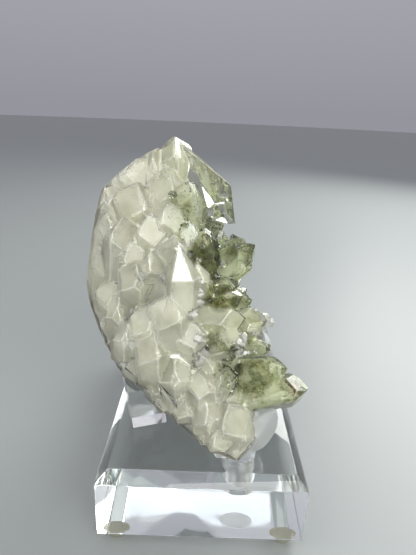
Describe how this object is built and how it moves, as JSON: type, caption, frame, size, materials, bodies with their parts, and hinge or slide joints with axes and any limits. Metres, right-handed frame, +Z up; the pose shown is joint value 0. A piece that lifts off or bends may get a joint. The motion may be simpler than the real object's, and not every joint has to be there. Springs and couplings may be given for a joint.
{
  "type": "garden quartz cluster on acrylic stand",
  "caption": "Plate of grown-together quartz crystals with green inclusions, standing on its tip in a clear fishtail cradle on a chamfered clear block with bumper feet.",
  "frame": {"origin": "on the surface the feet stand on, under the middle of the whole object's bounding box", "axes": "+X to the right along the front of the block, +Y back along its long side, +Z up"},
  "size_m": [0.0956, 0.15, 0.1591],
  "materials": {
    "quartz": "glassy natural crystal faces, milky inside near the root, clear with green chlorite at the tips, iron-stained on the back",
    "acrylic": "clear cast acrylic, polished",
    "bumper": "clear polyurethane bumper, slightly yellow"
  },
  "bodies": {
    "root": {"quartz_cluster": "quartz", "base_block": "acrylic", "front_cradle": "acrylic", "rear_post": "acrylic", "rear_peg": "acrylic", "foot_front_left": "bumper", "foot_front_right": "bumper", "foot_back_left": "bumper", "foot_back_right": "bumper"}
  },
  "joints": []
}
